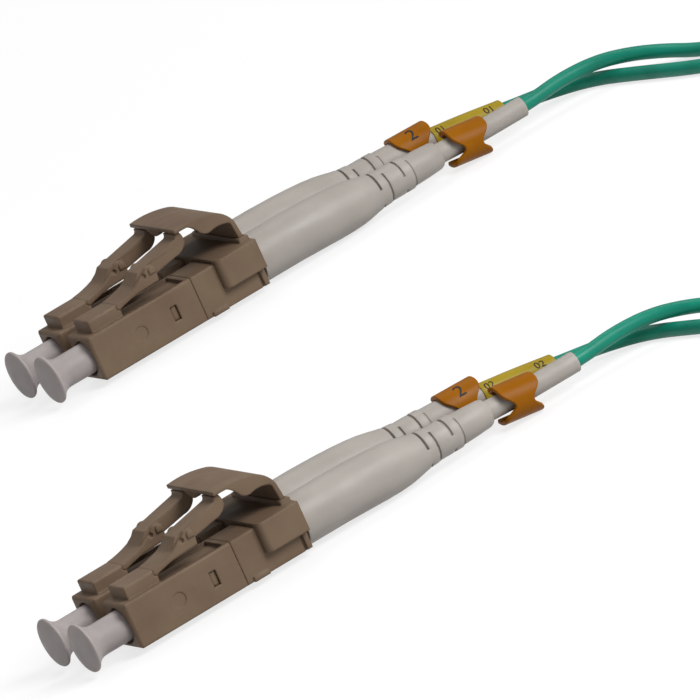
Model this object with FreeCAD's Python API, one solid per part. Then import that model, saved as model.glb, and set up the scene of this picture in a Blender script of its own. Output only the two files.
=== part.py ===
"""Duplex fibre patch cord with two snap-in connectors at each end.

Millimetres, +Z up, the table at z = 0. In an end's own frame +X runs from the plugs
towards the cord, y = 0 lies midway between its two plugs, z = 0 is their axis and
x = 0 is the front face of their housings. Plug 1 lies on the -Y side, plug 2 on the +Y side.
"""

import FreeCAD, Part
import math
import os

Vector = FreeCAD.Vector

# Plug pitch and body
PITCH = 6.25
BODY = 4.52
HOUSING_LENGTH = 12.1
REAR_END = 19.4
SEAM = 0.05
EDGE_ROUND = 0.2
NOSE_CHAMFER = 0.22

# Ferrule socket and the chamber behind it
MOUTH_RADIUS = 1.87
MOUTH_DEPTH = 0.6
SOCKET_RADIUS = 1.65
SOCKET_DEPTH = 3.2
WALL = 0.7
WALL_HOLE_RADIUS = 1.1
CHAMBER_RADIUS = 1.55

# Deck recess under the latch, side window and mould mark
RECESS_DEPTH = 0.35
RECESS_RIM = 0.5
WINDOW_START = 8.95
WINDOW_LENGTH = 0.75
WINDOW_HEIGHT = 1.5
MARK_X = 5.3
MARK_RADIUS = 0.72
MARK_DEPTH = 0.06

# Latch arm
ARM_WIDTH = 3.2
BAR_WIDTH = 2.3
BLOCK_START = 1.0
ARM_TOP = 3.5
ARM_ROOT_X = 4.6
ARM_THICKNESS = 0.6
LUG_X = 9.15
LUG_Z = 4.72
LUG_RADIUS = 0.45
LUG_REACH = 0.14
DIMPLE_X = 8.15
DIMPLE_Z = 4.5
DIMPLE_RADIUS = 0.27
DIMPLE_DEPTH = 0.2
HOOK_FRONT = 12.85
HOOK_LENGTH = 0.7

# Ferrule, its flange and spring
FERRULE_RADIUS = 0.6245
FERRULE_TIP = -1.9
FERRULE_LENGTH = 6.5
FERRULE_BEVEL = 0.2
FLANGE_NOSE_RADIUS = 1.0
FLANGE_NOSE_START = 3.0
FLANGE_HEAD_RADIUS = 1.45
FLANGE_HEAD_LENGTH = 1.4
FLANGE_TAIL_RADIUS = 0.72
FLANGE_TAIL_END = 13.6
FIBRE_RADIUS = 0.3
SPRING_RADIUS = 0.99
SPRING_WIRE = 0.26
FERRULE_TRAVEL = 0.5

# Rear body
NOSE_START = 8.8
NOSE_WALL = 0.25
SPRING_SEAT = 12.4
TAIL_BORE_RADIUS = 0.8
TAIL_BORE_END = 15.0
CORD_BORE_RADIUS = 0.5
TAB_CLEARANCE = 0.05
TAB_REACH = 2.05
FOOT_START = 12.8
FOOT_LENGTH = 1.7
FOOT_HEIGHT = 0.5
FOOT_REACH = 0.16
SIDE_GROOVE_START = 18.55
SIDE_GROOVE_WIDTH = 0.35
SIDE_GROOVE_DEPTH = 0.3
SIDE_GROOVE_TOP = -0.55
BARB_RADIUS = 1.3
BARB_LENGTH = 4.8

# Crimp sleeve
CRIMP_WALL = 0.3
CRIMP_START = 19.8

# Boot
BOOT_START = 19.6
BOOT_RADIUS = 2.5
BOOT_TAPER_START = 27.5
BOOT_NECK_X = 35.3
BOOT_NECK_RADIUS = 1.76
BOOT_RING_X = 38.1
BOOT_RING_RADIUS = 1.68
BOOT_TAIL_RADIUS = 1.42
BOOT_END = 41.4
BOOT_TIP_TAPER = 0.3
BOOT_RING_STEP = 0.14
SLOT_START = 33.9
SLOT_SHIFT = 1.05
SLOT_STEP = 2.8
SLOT_PAIRS = 2
SLOT_WIDTH = 0.35
SLOT_FLOOR = 1.2

# Leg sleeve, markers and the wrap label
SLEEVE_RADIUS = 1.0
SLEEVE_SIDES = 12
SLEEVE_END = BOOT_END + 10.1
SLEEVE_BENDS = {
    1: [(BOOT_END + 0.9, 0.0, 0.0), (BOOT_END + 3.8, 0.0, -0.62), (SLEEVE_END, 0.0, -0.6)],
    2: [(BOOT_END + 1.5, 0.0, 0.0), (BOOT_END + 5.4, -0.6, -0.78), (SLEEVE_END, -1.5, -1.36)],
}
LEG_SEAT_DEPTH = 2.4
LEG_SEAT_LEAD = 1.1
MARKER_RADIUS = 1.88
MARKER_WALL = 0.36
MARKER_LENGTH = 4.1
MARKER_SADDLE = 1.0
MARKER_SLIT = 0.9
MARKER_PLACES = {1: (BOOT_END + 3.1, -0.8, 8.0), 2: (BOOT_END + 0.45, -0.06, 1.5)}
LABEL_START = BOOT_END + 2.6
LABEL_THICKNESS = 0.12

# Dust cap
CAP_FRONT = -4.4
CAP_FLANGE_RADIUS = 2.45
CAP_RIM = 0.35
CAP_BARREL_RADIUS = 1.55
CAP_NECK_SWELL = 0.3
CAP_CHAMFER = 0.2
CAP_FLARE_END = -2.9
CAP_INSERT = 2.6
CAP_BORE_FLOOR = -2.5

# Duplex clip and its trigger
CLIP_START = 14.9
CLIP_END = 19.5
CLIP_HALF_WIDTH = 6.225
CLIP_TOP_WALL = 0.32
CLIP_SKIRT = -0.4
CLIP_CORNER = 0.6
RIDGE_LENGTH = 1.1
RIDGE_HEIGHT = 0.42
TRIGGER_HALF_WIDTH = 4.65
TRIGGER_FRONT = 12.85
TRIGGER_TOP = 6.95
TRIGGER_THICKNESS = 0.45
TRIGGER_LOBE_RADIUS = 2.2
TRIGGER_LOBE_DROP = 0.55
KNUCKLE_RADIUS = 0.25
KNUCKLE_X = 18.9

# Cord
LEG_RADIUS = 0.7
CORD_SIDES = 8
COIL_SIDES = 6
TRUNK_RADIUS = 1.0
SPLITTER_LENGTH = 10.0
SPLITTER_WIDTH = 4.4
SPLITTER_HEIGHT = 2.8
COIL_RADIUS = 24.0
COIL_PITCH = 2.5
COIL_TURNS_IN = 1.0
COIL_TURNS_OUT = 1.5
TIE_WIDTH = 6.0
TIE_WALL = 0.4
TIE_ROOM = 0.1
TIE_SIDE_ROOM = 0.4

# Clearances between pieces
SLIP = 0.05
SNUG = 0.02
PIVOT_CLEARANCE = 0.03

# Places of the two ends on the table, and of the coil beside them
AXIS_HEIGHT = BOOT_RADIUS + 0.4
ENDS_APART_X = 39.2
ENDS_APART_Y = 77.9
COIL_CENTRE_FROM_A = (SLEEVE_END + 9.5, -87.1)


def point(x, y, z):
    """Short name for a vector."""
    return Vector(x, y, z)


def box(x0, x1, y0, y1, z0, z1):
    """Box between two corners."""
    return Part.makeBox(x1 - x0, y1 - y0, z1 - z0, point(x0, y0, z0))


def rod(x0, x1, radius):
    """Cylinder on the plug axis."""
    return Part.makeCylinder(radius, x1 - x0, point(x0, 0, 0), point(1, 0, 0))


def cross_rod(x, z, radius, half_width):
    """Cylinder across the plug, centred on y = 0."""
    return Part.makeCylinder(radius, 2 * half_width, point(x, -half_width, z), point(0, 1, 0))


def outline(start, steps):
    """Closed wire in the XZ plane: a step is an end point, or a (through, end) pair for an arc."""
    edges, here = [], start
    for step in steps:
        if isinstance(step[0], tuple):
            through, end = step
            arc = Part.Arc(point(here[0], 0, here[1]), point(through[0], 0, through[1]),
                           point(end[0], 0, end[1]))
            edges.append(arc.toShape())
        else:
            end = step
            edges.append(Part.makeLine(point(here[0], 0, here[1]), point(end[0], 0, end[1])))
        here = end
    edges.append(Part.makeLine(point(here[0], 0, here[1]), point(start[0], 0, start[1])))
    return Part.Wire(edges)


def plate(start, steps, y0, y1):
    """Side outline extruded across from y0 to y1."""
    face = Part.Face(outline(start, steps))
    face.translate(point(0, y0, 0))
    return face.extrude(point(0, y1 - y0, 0))


def turned(start, steps):
    """Outline of x and radius turned about the plug axis."""
    face = Part.Face(outline(start, steps))
    return face.revolve(point(0, 0, 0), point(1, 0, 0), 360)


def rounded(shape, radius, wanted):
    """Fillet the straight edges that wanted(low corner, high corner) picks."""
    picked = []
    for edge in shape.Edges:
        low = edge.BoundBox
        if wanted(low):
            picked.append(edge)
    return shape.makeFillet(radius, picked)


def runs_along_x(bounds, length):
    """True for an edge that runs along the plug for at least a length."""
    return bounds.XLength > length and bounds.YLength < 1e-6 and bounds.ZLength < 1e-6


def deck_recess():
    """Shallow pocket in the top face that lets the latch arm flex down."""
    half = BODY / 2 - RECESS_RIM
    floor = BODY / 2 - RECESS_DEPTH
    return box(ARM_ROOT_X, HOUSING_LENGTH - SEAM - RECESS_RIM, -half, half, floor, BODY)


def latch_seat():
    """Round seat that the arm's root turns in."""
    root_z = ARM_TOP - ARM_THICKNESS / 2
    return cross_rod(ARM_ROOT_X, root_z, ARM_THICKNESS / 2 + PIVOT_CLEARANCE, ARM_WIDTH)


def housing():
    """Front body: square shell with the socket, the chamber, the latch deck and the side windows."""
    half = BODY / 2
    end = HOUSING_LENGTH - SEAM
    shell = box(0, end, -half, half, -half, half)
    shell = shell.makeChamfer(NOSE_CHAMFER, [e for e in shell.Edges if e.BoundBox.XMax < 1e-6])
    shell = rounded(shell, EDGE_ROUND, lambda b: runs_along_x(b, end / 2))
    block = box(BLOCK_START, ARM_ROOT_X, -ARM_WIDTH / 2, ARM_WIDTH / 2, half - EDGE_ROUND, ARM_TOP)
    block = rounded(block, EDGE_ROUND, lambda b: b.ZMin > ARM_TOP - 1e-6 and b.XMin < ARM_ROOT_X - 1e-6)
    shell = shell.fuse(block)
    mouth = turned((-SNUG, 0), [(-SNUG, MOUTH_RADIUS), (MOUTH_DEPTH, SOCKET_RADIUS), (MOUTH_DEPTH, 0)])
    shell = shell.cut(mouth).cut(rod(0, SOCKET_DEPTH, SOCKET_RADIUS))
    shell = shell.cut(rod(0, end, WALL_HOLE_RADIUS))
    shell = shell.cut(rod(SOCKET_DEPTH + WALL, end + SNUG, CHAMBER_RADIUS))
    shell = shell.cut(deck_recess()).cut(latch_seat())
    window = box(WINDOW_START, WINDOW_START + WINDOW_LENGTH, -BODY, BODY,
                 -WINDOW_HEIGHT / 2, WINDOW_HEIGHT / 2)
    mark = Part.makeCylinder(MARK_RADIUS, MARK_DEPTH, point(MARK_X, -half, 0), point(0, 1, 0))
    return shell.cut(window).cut(mark).removeSplitter()


def latch_cheek():
    """Side outline of the wide part of the arm, with the shoulder cheek that carries the lug."""
    underside = ARM_TOP - ARM_THICKNESS
    steps = [
        ((5.85, ARM_TOP + 0.2), (6.95, ARM_TOP + 0.52)),
        (LUG_X - 0.65, LUG_Z + 0.22),
        ((LUG_X, LUG_Z + LUG_RADIUS), (LUG_X + LUG_RADIUS, LUG_Z)),
        (LUG_X + 0.3, underside + 0.55),
        (LUG_X - 2.25, underside + 0.48),
        ((5.75, underside + 0.28), (ARM_ROOT_X, underside)),
    ]
    return plate((ARM_ROOT_X, ARM_TOP), steps, -ARM_WIDTH / 2, ARM_WIDTH / 2)


def latch_bar():
    """Narrow upper bar with the shoulder step at its front and the upturned hook at its tip."""
    hook_rear = HOOK_FRONT + HOOK_LENGTH
    hook_top = TRIGGER_TOP - TRIGGER_THICKNESS - 2 * SLIP
    steps = [
        (6.95, ARM_TOP + 0.52),
        (7.85, ARM_TOP + 1.5),
        (HOOK_FRONT - 0.15, ARM_TOP + 2.45),
        ((HOOK_FRONT - 0.02, ARM_TOP + 2.6), (HOOK_FRONT, hook_top)),
        (hook_rear - 0.1, hook_top),
        ((hook_rear + 0.1, ARM_TOP + 2.3), (hook_rear + 0.05, ARM_TOP + 1.75)),
        ((hook_rear - 0.4, ARM_TOP + 1.25), (12.2, ARM_TOP + 0.95)),
        (9.6, ARM_TOP + 0.5),
        (8.1, ARM_TOP - 0.05),
    ]
    return plate((6.95, ARM_TOP - 0.2), steps, -BAR_WIDTH / 2, BAR_WIDTH / 2)


def latch_lug():
    """Rounded lug on the cheeks that catches in the adapter, a little proud of both sides."""
    reach = ARM_WIDTH / 2 + LUG_REACH
    side = LUG_RADIUS * 0.8
    return plate((LUG_X - side, LUG_Z - side), [
        (LUG_X - side, LUG_Z),
        ((LUG_X, LUG_Z + side), (LUG_X + side, LUG_Z)),
        (LUG_X + side, LUG_Z - side),
    ], -reach, reach)


def latch():
    """Latch arm: round root, wide cheeks with lugs, narrow bar and hook."""
    arm = latch_cheek().fuse(latch_bar()).fuse(latch_lug())
    arm = arm.fuse(cross_rod(ARM_ROOT_X, ARM_TOP - ARM_THICKNESS / 2, ARM_THICKNESS / 2, ARM_WIDTH / 2))
    for side in (-1, 1):
        y0, y1 = sorted((side * ARM_WIDTH / 2, side * (ARM_WIDTH / 2 - DIMPLE_DEPTH)))
        corners = [(DIMPLE_X + DIMPLE_RADIUS * math.cos(math.radians(60 * k)),
                    DIMPLE_Z + DIMPLE_RADIUS * math.sin(math.radians(60 * k))) for k in range(6)]
        arm = arm.cut(plate(corners[0], corners[1:], y0, y1))
    return arm.removeSplitter()


def ferrule():
    """Ceramic ferrule with a bevelled tip."""
    end = FERRULE_TIP + FERRULE_LENGTH
    return turned((FERRULE_TIP, 0), [
        (FERRULE_TIP, FERRULE_RADIUS - FERRULE_BEVEL),
        (FERRULE_TIP + FERRULE_BEVEL, FERRULE_RADIUS),
        (end, FERRULE_RADIUS),
        (end, 0),
    ])


def ferrule_flange():
    """Metal flange: nose through the housing wall, six-sided head, tail that guides the spring."""
    head_start = SOCKET_DEPTH + WALL + SLIP
    head = Part.makePolygon([
        point(head_start, FLANGE_HEAD_RADIUS * math.cos(math.radians(60 * k)),
              FLANGE_HEAD_RADIUS * math.sin(math.radians(60 * k))) for k in range(7)])
    flange = Part.Face(head).extrude(point(FLANGE_HEAD_LENGTH, 0, 0))
    flange = flange.fuse(rod(FLANGE_NOSE_START, head_start, FLANGE_NOSE_RADIUS))
    flange = flange.fuse(rod(head_start, FLANGE_TAIL_END, FLANGE_TAIL_RADIUS))
    flange = flange.cut(rod(FLANGE_NOSE_START, FERRULE_TIP + FERRULE_LENGTH, FERRULE_RADIUS))
    return flange.cut(rod(0, FLANGE_TAIL_END, FIBRE_RADIUS)).removeSplitter()


def ferrule_spring():
    """Spring between the flange head and the seat in the rear body, as a sleeve of its outer size."""
    start = SOCKET_DEPTH + WALL + SLIP + FLANGE_HEAD_LENGTH
    return rod(start, SPRING_SEAT, SPRING_RADIUS + SPRING_WIRE / 2).cut(
        rod(start - SNUG, SPRING_SEAT + SNUG, SPRING_RADIUS - SPRING_WIRE / 2))


def rear_body():
    """Rear body: nose tube with snap tabs, square block, side feet, end grooves and crimp barb."""
    half = BODY / 2
    block = box(HOUSING_LENGTH, REAR_END, -half, half, -half, half)
    block = rounded(block, EDGE_ROUND, lambda b: runs_along_x(b, 1.0))
    nose_radius = CHAMBER_RADIUS - SLIP
    body = block.fuse(rod(NOSE_START, HOUSING_LENGTH, nose_radius))
    for side in (-1, 1):
        y0, y1 = sorted((side * (nose_radius - NOSE_WALL / 2), side * TAB_REACH))
        body = body.fuse(box(WINDOW_START + TAB_CLEARANCE, WINDOW_START + WINDOW_LENGTH - TAB_CLEARANCE,
                             y0, y1, -WINDOW_HEIGHT / 2 + TAB_CLEARANCE, WINDOW_HEIGHT / 2 - TAB_CLEARANCE))
        y0, y1 = sorted((side * (half - EDGE_ROUND), side * (half + FOOT_REACH)))
        body = body.fuse(box(FOOT_START, FOOT_START + FOOT_LENGTH, y0, y1, -half, -half + FOOT_HEIGHT))
        y0, y1 = sorted((side * (half - SIDE_GROOVE_DEPTH), side * BODY))
        body = body.cut(box(SIDE_GROOVE_START, SIDE_GROOVE_START + SIDE_GROOVE_WIDTH,
                            y0, y1, -BODY, SIDE_GROOVE_TOP))
    barb_end = REAR_END + BARB_LENGTH
    body = body.fuse(rod(REAR_END, barb_end, BARB_RADIUS))
    body = body.cut(rod(NOSE_START - SNUG, SPRING_SEAT, nose_radius - NOSE_WALL))
    body = body.cut(rod(SPRING_SEAT - SNUG, TAIL_BORE_END, TAIL_BORE_RADIUS))
    return body.cut(rod(SPRING_SEAT, barb_end + SNUG, CORD_BORE_RADIUS)).removeSplitter()


def crimp_sleeve():
    """Metal ring crimped over the barb."""
    end = REAR_END + BARB_LENGTH
    inner = BARB_RADIUS + SNUG
    return rod(CRIMP_START, end, inner + CRIMP_WALL).cut(rod(CRIMP_START - SNUG, end + SNUG, inner))


def boot_slots():
    """Strain-relief slots: flat-floored pairs, in turn from top and bottom and from the two sides."""
    slots = []
    wide = BOOT_RADIUS + 1
    for k in range(SLOT_PAIRS):
        for shift, upright in ((0.0, True), (SLOT_SHIFT, False)):
            start = SLOT_START + SLOT_STEP * k + shift
            for side in (-1, 1):
                low, high = sorted((side * SLOT_FLOOR, side * wide))
                across, tall = ((-wide, wide), (low, high)) if upright else ((low, high), (-wide, wide))
                slots.append(box(start, start + SLOT_WIDTH, *across, *tall))
    return slots


def boot():
    """Strain-relief boot: full barrel, long taper, slotted neck, end ring and a thin tail."""
    room = BARB_RADIUS + SNUG + CRIMP_WALL + SLIP
    hold = SLEEVE_RADIUS + SNUG
    shoulder = REAR_END + BARB_LENGTH + SLIP
    body = turned((BOOT_START, room), [
        (BOOT_START, BOOT_RADIUS),
        (BOOT_TAPER_START, BOOT_RADIUS),
        (BOOT_NECK_X, BOOT_NECK_RADIUS),
        (BOOT_RING_X, BOOT_RING_RADIUS),
        (BOOT_RING_X, BOOT_RING_RADIUS - BOOT_RING_STEP),
        (BOOT_END - BOOT_TIP_TAPER, BOOT_TAIL_RADIUS),
        (BOOT_END, BOOT_TAIL_RADIUS - BOOT_TIP_TAPER),
        (BOOT_END, hold),
        (shoulder, hold),
        (shoulder, room),
    ])
    for slot in boot_slots():
        body = body.cut(slot)
    return body


def sleeve_points(plug):
    """Centre line of a guide tube: straight in its boot, then sagging towards the other one."""
    return [(REAR_END + BARB_LENGTH + SNUG, 0.0, 0.0)] + SLEEVE_BENDS[plug]


def sleeve_end(plug):
    """Middle of a guide tube's open end and the way it points."""
    before, last = (point(*p) for p in SLEEVE_BENDS[plug][-2:])
    return last, (last - before).normalize()


def sleeve_tube(plug, radius):
    """Solid of a radius along a guide tube's centre line."""
    edges, radii = arcs_along(sleeve_points(plug))
    return sweep(f"guide tube {plug}", edges, radius, radii, SLEEVE_SIDES)


def leg_sleeve(plug):
    """Thin guide tube that leads a leg out of its boot."""
    tube = sleeve_tube(plug, SLEEVE_RADIUS).cut(sleeve_tube(plug, CORD_BORE_RADIUS))
    end, way = sleeve_end(plug)
    seat = Part.makeCylinder(LEG_RADIUS + SNUG, LEG_SEAT_DEPTH + SNUG, end - way * LEG_SEAT_DEPTH, way)
    return tube.cut(seat)


def marker_clip(plug):
    """Snap-on cable marker: slit tube with saddle-shaped ends, hanging askew on the guide tube."""
    inner = MARKER_RADIUS - MARKER_WALL
    half = MARKER_LENGTH / 2
    tube = rod(-half, half, MARKER_RADIUS).cut(rod(-half - SNUG, half + SNUG, inner))
    saddle_half = MARKER_RADIUS * 0.6
    for way in (-1, 1):
        outside = way * (half + 1)
        saddle = plate((outside, -saddle_half), [
            (way * (half - 0.1), -saddle_half),
            ((way * (half - MARKER_SADDLE), 0), (way * (half - 0.1), saddle_half)),
            (outside, saddle_half),
        ], -MARKER_RADIUS - 1, MARKER_RADIUS + 1)
        tube = tube.cut(saddle)
    tube = tube.cut(box(-half - SNUG, half + SNUG, -MARKER_SLIT / 2, MARKER_SLIT / 2, -MARKER_RADIUS - 1, 0))
    middle, height, tilt = MARKER_PLACES[plug]
    tube.rotate(point(0, 0, 0), point(0, 1, 0), tilt)
    tube.translate(point(middle, 0, height))
    return tube


def wrap_label():
    """Thin printed label wrapped round a leg sleeve."""
    ring = sleeve_tube(2, SLEEVE_RADIUS + LABEL_THICKNESS).cut(sleeve_tube(2, SLEEVE_RADIUS + SNUG / 2))
    return ring.common(box(LABEL_START, SLEEVE_END + 1, -PITCH, PITCH, -PITCH, PITCH))


def dust_cap():
    """Dust cap: trumpet flange, barrel in the socket, blind bore round the ferrule."""
    bore = FERRULE_RADIUS + SLIP
    insert = min(CAP_INSERT, FLANGE_NOSE_START - SLIP)
    neck = CAP_BARREL_RADIUS + CAP_NECK_SWELL
    return turned((CAP_FRONT, 0), [
        (CAP_FRONT, CAP_FLANGE_RADIUS - CAP_CHAMFER),
        (CAP_FRONT + CAP_CHAMFER, CAP_FLANGE_RADIUS),
        (CAP_FRONT + CAP_RIM, CAP_FLANGE_RADIUS),
        (0.5 * (CAP_FRONT + CAP_RIM + CAP_FLARE_END), neck),
        (CAP_FLARE_END, CAP_BARREL_RADIUS),
        (insert - CAP_CHAMFER, CAP_BARREL_RADIUS),
        (insert, CAP_BARREL_RADIUS - CAP_CHAMFER),
        (insert, bore),
        (CAP_BORE_FLOOR, bore),
        (CAP_BORE_FLOOR, 0),
    ])


def duplex_clip():
    """Saddle clip over both rear bodies, with the ridge that carries the trigger."""
    top = BODY / 2 + CLIP_TOP_WALL
    block = box(CLIP_START, CLIP_END, -CLIP_HALF_WIDTH, CLIP_HALF_WIDTH, CLIP_SKIRT, top)
    block = rounded(block, CLIP_CORNER, lambda b: b.XMax < CLIP_START + 1e-6 and b.ZLength > 1)
    ridge = box(CLIP_END - RIDGE_LENGTH, CLIP_END, -TRIGGER_HALF_WIDTH - 0.3, TRIGGER_HALF_WIDTH + 0.3,
                top - EDGE_ROUND, top + RIDGE_HEIGHT)
    ridge = rounded(ridge, EDGE_ROUND, lambda b: b.ZMin > top + RIDGE_HEIGHT - 1e-6 and b.YLength > 1)
    block = block.fuse(ridge)
    half = BODY / 2 + SNUG
    for y in (-PITCH / 2, PITCH / 2):
        block = block.cut(box(CLIP_START - 1, CLIP_END + 1, y - half, y + half, CLIP_SKIRT - 1, half))
    seat = cross_rod(KNUCKLE_X, knuckle_height(), KNUCKLE_RADIUS + PIVOT_CLEARANCE,
                     TRIGGER_HALF_WIDTH + SLIP)
    return block.cut(seat).removeSplitter()


def knuckle_height():
    """Height of the trigger's pivot: the top of the clip's ridge."""
    return BODY / 2 + CLIP_TOP_WALL + RIDGE_HEIGHT


def trigger_arch(thickness):
    """Side outline of the arched plate from the front lip to the foot."""
    top = TRIGGER_TOP
    foot = knuckle_height()
    inner = top - thickness
    steps = [
        (TRIGGER_FRONT, top - 0.05),
        ((15.0, top - 0.05), (16.8, top - 0.4)),
        ((18.3, top - 1.25), (18.95, top - 2.3)),
        (KNUCKLE_X + KNUCKLE_RADIUS, foot),
        (KNUCKLE_X - KNUCKLE_RADIUS * 0.9, foot),
        (18.95 - thickness, top - 2.35),
        ((17.95, inner - 1.2), (16.65, inner - 0.4)),
        ((15.0, inner - 0.08), (TRIGGER_FRONT + 0.1, inner)),
    ]
    return plate((TRIGGER_FRONT, inner + 0.05), steps, -TRIGGER_HALF_WIDTH, TRIGGER_HALF_WIDTH)


def trigger_cheek(side):
    """Side skirt of the trigger: deep in the middle, cut away at the front."""
    top = TRIGGER_TOP
    y0, y1 = sorted((side * TRIGGER_HALF_WIDTH, side * (TRIGGER_HALF_WIDTH - TRIGGER_THICKNESS)))
    return plate((13.5, top - 0.2), [
        ((14.6, top - 0.7), (15.2, top - 1.4)),
        ((15.7, top - 1.9), (16.3, top - 2.0)),
        ((17.3, top - 1.9), (18.4, top - 2.2)),
        (18.75, top - 2.25),
        ((18.1, top - 1.25), (16.75, top - 0.5)),
    ], y0, y1)


def trigger():
    """Common trigger over both latch hooks: arched plate, side skirts, middle lobe and knuckle."""
    body = trigger_arch(TRIGGER_THICKNESS)
    for side in (-1, 1):
        body = body.fuse(trigger_cheek(side))
    lobe_z = TRIGGER_TOP - TRIGGER_THICKNESS + TRIGGER_LOBE_RADIUS - TRIGGER_LOBE_DROP
    lobe = Part.makeCylinder(TRIGGER_LOBE_RADIUS, TRIGGER_THICKNESS,
                             point(TRIGGER_FRONT + 0.02, 0, lobe_z), point(1, 0, 0))
    lobe = lobe.common(box(0, CLIP_END, -PITCH, PITCH, 0, TRIGGER_TOP - TRIGGER_THICKNESS / 2))
    knuckle = cross_rod(KNUCKLE_X, knuckle_height(), KNUCKLE_RADIUS, TRIGGER_HALF_WIDTH)
    return body.fuse(lobe).fuse(knuckle).removeSplitter()


def arc_radius(before, corner, after):
    """Radius of the tangent arc at a corner: 0.45 of the shorter run over tan(half the turn)."""
    first, second = corner - before, after - corner
    turn = first.getAngle(second)
    return 0.45 * min(first.Length, second.Length) / math.tan(turn / 2)


def arcs_along(points):
    """Straight runs joined by tangent arcs through a list of corners, and the arcs' radii."""
    route = [point(*p) for p in points]
    edges, here, radii = [], route[0], []
    for before, corner, after in zip(route, route[1:], route[2:]):
        first, second = (corner - before), (after - corner)
        reach = 0.45 * min(first.Length, second.Length)
        start = corner - first.normalize() * reach
        end = corner + second.normalize() * reach
        bisector = (second - first).normalize()
        arc_r = arc_radius(before, corner, after)
        half = (after - corner).getAngle(corner - before) / 2
        middle = corner + bisector * (arc_r / math.cos(half) - arc_r)
        edges += [Part.LineSegment(here, start).toShape(), Part.Arc(start, middle, end).toShape()]
        radii.append(arc_r)
        here = end
    edges.append(Part.LineSegment(here, route[-1]).toShape())
    return edges, radii


def cord_tube(name, points, radius):
    """Tube of flat sides along a cord's route."""
    edges, radii = arcs_along(points)
    return sweep(name, edges, radius, radii, CORD_SIDES)


def sweep(name, edges, radius, radii, sides):
    """Tube of some flat sides along joined edges; the corners of its section lie on the radius."""
    path = Part.Wire(edges)
    start = edges[0].valueAt(edges[0].FirstParameter)
    way = edges[0].tangentAt(edges[0].FirstParameter)
    across = way.cross(point(0, 0, 1)).normalize()
    up = across.cross(way).normalize()
    corners = []
    for k in range(sides + 1):
        angle = 2 * math.pi * (k + 0.5) / sides
        corners.append(start + (across * math.cos(angle) + up * math.sin(angle)) * radius)
    tube = path.makePipeShell([Part.makePolygon(corners)], True, False)
    expected = sides / 2 * radius * radius * math.sin(2 * math.pi / sides) * path.Length
    print(f"{name}: length {path.Length:.1f}, least radius {min(radii):.1f}, "
          f"volume off by {100 * (tube.Volume / expected - 1):.3f} percent, radii "
          + " ".join(f"{r:.1f}" for r in radii))
    return tube


def coil_point(turns):
    """Point and direction on the coil's centre line after a number of turns, clockwise from +X."""
    reversal = 0.5
    inner = COIL_RADIUS - COIL_PITCH * COIL_TURNS_IN
    low = TRUNK_RADIUS + TIE_WALL + TIE_ROOM
    if turns <= COIL_TURNS_IN:
        radius, slope, climb = COIL_RADIUS - COIL_PITCH * turns, -COIL_PITCH, 0.0
    elif turns <= COIL_TURNS_IN + reversal:
        share = (turns - COIL_TURNS_IN) / reversal
        dip = COIL_PITCH * reversal / math.pi
        radius = inner - dip * math.sin(math.pi * share)
        slope = -COIL_PITCH * math.cos(math.pi * share)
        climb = 0.5 - 0.5 * math.cos(math.pi * share)
    else:
        radius = inner + COIL_PITCH * (turns - COIL_TURNS_IN - reversal)
        slope, climb = COIL_PITCH, 1.0
    angle = -2 * math.pi * turns
    height = low + COIL_PITCH * climb
    rise = 0.0
    if COIL_TURNS_IN < turns < COIL_TURNS_IN + reversal:
        rise = COIL_PITCH * 0.5 * math.pi / reversal * math.sin(math.pi * (turns - COIL_TURNS_IN) / reversal)
    here = point(radius * math.cos(angle), radius * math.sin(angle), height)
    ahead = point(slope * math.cos(angle) + 2 * math.pi * radius * math.sin(angle),
                  slope * math.sin(angle) - 2 * math.pi * radius * math.cos(angle), rise)
    return here, ahead.normalize()


def arc_from(start, direction, end):
    """Arc from start along a direction to an end point."""
    chord = end - start
    along = Vector(chord).normalize()
    sideways = direction - along * direction.dot(along)
    if sideways.Length < 1e-7:
        return Part.LineSegment(start, end).toShape()
    bulge = chord.Length / 2 * math.tan(direction.getAngle(along) / 2)
    return Part.Arc(start, start + chord * 0.5 + sideways.normalize() * bulge, end).toShape()


def biarc(start, direction, end, end_direction):
    """Two arcs with a common tangent that join two points in two directions."""
    across = end - start
    both = direction + end_direction
    slack = 2 * (1 - direction.dot(end_direction))
    lean = across.dot(both)
    reach = (-lean + math.sqrt(lean * lean + slack * across.dot(across))) / slack
    middle = (start + direction * reach + end - end_direction * reach) * 0.5
    second = arc_from(end, end_direction * -1, middle)
    return [arc_from(start, direction, middle), reversed_arc(second, middle, end)]


def reversed_arc(edge, start, end):
    """The same arc, run the other way."""
    if edge.Length < 1e-7:
        return edge
    middle = edge.valueAt((edge.FirstParameter + edge.LastParameter) / 2)
    return Part.Arc(start, middle, end).toShape()


def coil():
    """Loops in two layers: the spiral runs in, climbs while it reverses, and runs out again."""
    turns = COIL_TURNS_IN + 0.5 + COIL_TURNS_OUT
    stations = [coil_point(k / 4) for k in range(int(round(turns * 4)) + 1)]
    edges = []
    first, way = stations[0]
    edges.append(Part.LineSegment(first - way * (2 * TRUNK_RADIUS), first).toShape())
    for (a, da), (b, db) in zip(stations, stations[1:]):
        edges += biarc(a, da, b, db)
    last, way = stations[-1]
    edges.append(Part.LineSegment(last, last + way * (2 * TRUNK_RADIUS)).toShape())
    print_coil_gap(edges)
    return sweep("cord_coil", edges, TRUNK_RADIUS, [e.Curve.Radius for e in edges[1:-1]], COIL_SIDES)


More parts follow.
